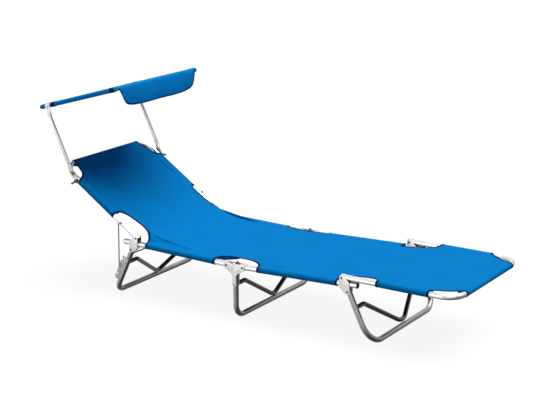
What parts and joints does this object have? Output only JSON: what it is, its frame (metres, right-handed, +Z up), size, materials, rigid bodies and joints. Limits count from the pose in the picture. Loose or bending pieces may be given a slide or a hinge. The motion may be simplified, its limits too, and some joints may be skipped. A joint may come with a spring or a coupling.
{
  "type": "folding sun lounger with canopy",
  "caption": "Low folding lounger of bent tube with a sling bed, a reclining backrest, folding legs and a tilting canopy on two arms.",
  "frame": {"origin": "centre of the bounding box, at floor level", "axes": "+Z up; +X points to the foot end, -X to the head end; +Y is across the bed, away from the viewer"},
  "size_m": [1.8928, 0.6032, 0.8533],
  "materials": {
    "tube": "silver paint, satin",
    "leg_tube": "grey silver paint, satin",
    "plate": "zinc-plated, dull",
    "rivet": "plain, dull",
    "wire": "zinc-plated wire",
    "plug": "black, matt",
    "wing": "dark grey",
    "cloth": "blue woven synthetic cloth, navy binding on the cut-outs"
  },
  "bodies": {
    "middle_leg": {"middle_leg_tube": "leg_tube", "middle_leg_brace": "leg_tube", "bracket_near_outer": "plate", "bracket_near_inner": "plate", "bracket_far_outer": "plate", "bracket_far_inner": "plate", "seat_ear_pin_near": "rivet", "seat_ear_pin_far": "rivet", "middle_ear_pin_near": "rivet", "middle_ear_pin_far": "rivet"},
    "seat": {"seat_rail_near": "tube", "seat_rail_far": "tube", "head_plate_near_outer": "plate", "head_plate_near_inner": "plate", "head_plate_far_outer": "plate", "head_plate_far_inner": "plate", "seat_rail_plug_near": "plug", "seat_rail_plug_far": "plug", "backrest_pin_near": "rivet", "backrest_pin_far": "rivet", "head_leg_pin_near": "rivet", "head_leg_pin_far": "rivet", "seat_sling": "cloth"},
    "head_leg": {"head_leg_tube": "leg_tube", "head_leg_brace": "leg_tube", "rack_near": "plate", "rack_far": "plate"},
    "backrest": {"backrest_tube": "tube", "backrest_plug_near": "plug", "backrest_plug_far": "plug", "backrest_sling": "cloth", "arm_bolt_near": "rivet", "arm_bolt_far": "rivet"},
    "stay_near": {"stay_near": "wire"},
    "stay_far": {"stay_far": "wire"},
    "wing_nut_near": {"wing_nut_near": "wing"},
    "wing_nut_far": {"wing_nut_far": "wing"},
    "canopy_arms": {"canopy_arm_near": "tube", "canopy_arm_far": "tube"},
    "canopy": {"canopy_frame": "tube", "canopy_cloth": "cloth"},
    "middle": {"middle_rail_near": "tube", "middle_rail_far": "tube", "foot_plate_near_outer": "plate", "foot_plate_near_inner": "plate", "foot_plate_far_outer": "plate", "foot_plate_far_inner": "plate", "middle_rail_plug_near": "plug", "middle_rail_plug_far": "plug", "foot_pin_near": "rivet", "foot_pin_far": "rivet", "foot_leg_pin_near": "rivet", "foot_leg_pin_far": "rivet", "middle_sling": "cloth"},
    "foot_leg": {"foot_leg_tube": "leg_tube", "foot_leg_brace": "leg_tube"},
    "foot": {"foot_tube": "tube", "foot_plug_near": "plug", "foot_plug_far": "plug", "foot_sling": "cloth"}
  },
  "joints": [
    {"name": "middle_fold", "type": "hinge", "parent": "middle_leg", "child": "middle", "pos_m": [0.04658, 0, 0.2165], "axis": [0, 1, 0], "range_deg": [-56, 0]},
    {"name": "seat_fold", "type": "hinge", "parent": "middle_leg", "child": "seat", "pos_m": [-0.02742, 0, 0.2165], "axis": [0, 1, 0], "range_deg": [0, 56]},
    {"name": "backrest_recline", "type": "hinge", "parent": "seat", "child": "backrest", "pos_m": [-0.46158, 0, 0.25299], "axis": [0, 1, 0], "range_deg": [-34.4, 75]},
    {"name": "head_leg_fold", "type": "hinge", "parent": "seat", "child": "head_leg", "pos_m": [-0.48699, 0, 0.20217], "axis": [0, 1, 0], "range_deg": [-108, 0]},
    {"name": "foot_fold", "type": "hinge", "parent": "middle", "child": "foot", "pos_m": [0.48074, 0, 0.25299], "axis": [0, 1, 0], "range_deg": [-179, 0]},
    {"name": "foot_leg_fold", "type": "hinge", "parent": "middle", "child": "foot_leg", "pos_m": [0.50615, 0, 0.20217], "axis": [0, 1, 0], "range_deg": [0, 108]},
    {"name": "stay_near_swing", "type": "hinge", "parent": "backrest", "child": "stay_near", "pos_m": [-0.54117, -0.288, 0.30667], "axis": [0, 1, 0], "range_deg": [0, 60]},
    {"name": "stay_far_swing", "type": "hinge", "parent": "backrest", "child": "stay_far", "pos_m": [-0.54117, 0.288, 0.30667], "axis": [0, 1, 0], "range_deg": [0, 60]},
    {"name": "canopy_arms_swing", "type": "hinge", "parent": "backrest", "child": "canopy_arms", "pos_m": [-0.75423, 0, 0.45038], "axis": [0, -1, 0], "range_deg": [-40, 60]},
    {"name": "canopy_tilt", "type": "hinge", "parent": "canopy_arms", "child": "canopy", "pos_m": [-0.89758, 0, 0.74429], "axis": [0, -1, 0], "range_deg": [-50, 40]},
    {"name": "wing_nut_near_turn", "type": "hinge", "parent": "backrest", "child": "wing_nut_near", "pos_m": [-0.75423, -0.288, 0.45038], "axis": [0, 1, 0], "continuous": true},
    {"name": "wing_nut_far_turn", "type": "hinge", "parent": "backrest", "child": "wing_nut_far", "pos_m": [-0.75423, 0.288, 0.45038], "axis": [0, 1, 0], "continuous": true}
  ],
  "couplings": [
    {"joint": "seat_fold", "follows": "middle_fold", "ratio": -1}
  ]
}
